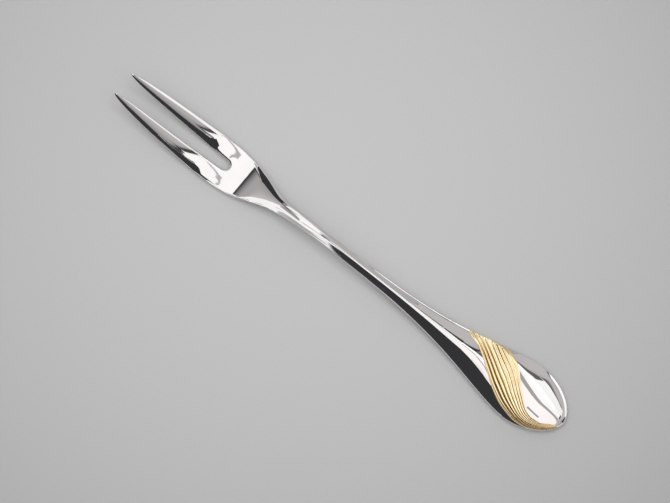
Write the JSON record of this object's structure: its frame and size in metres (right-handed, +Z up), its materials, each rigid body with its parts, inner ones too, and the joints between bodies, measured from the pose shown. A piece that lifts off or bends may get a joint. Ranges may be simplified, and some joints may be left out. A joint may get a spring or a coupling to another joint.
{
  "type": "meat fork",
  "caption": "Slim serving fork of polished steel with long forked tines, a waisted stem and a wave of gilded strands across its egg-shaped handle end.",
  "frame": {"origin": "on the surface that the fork rests on, under the middle of its length and width", "axes": "+X from the handle's end to the tine tips, +Z up out of the face, +Y to the left of +X"},
  "size_m": [0.21, 0.0246, 0.0074],
  "materials": {
    "polished_steel": "mirror polished stainless steel",
    "gilding": "bright gold plating"
  },
  "bodies": {
    "root": {"fork_blank": "polished_steel", "gold_strand_1": "gilding", "gold_strand_2": "gilding", "gold_strand_3": "gilding", "gold_strand_4": "gilding", "gold_strand_5": "gilding", "gold_strand_6": "gilding", "gold_strand_7": "gilding", "gold_strand_8": "gilding"}
  },
  "joints": []
}
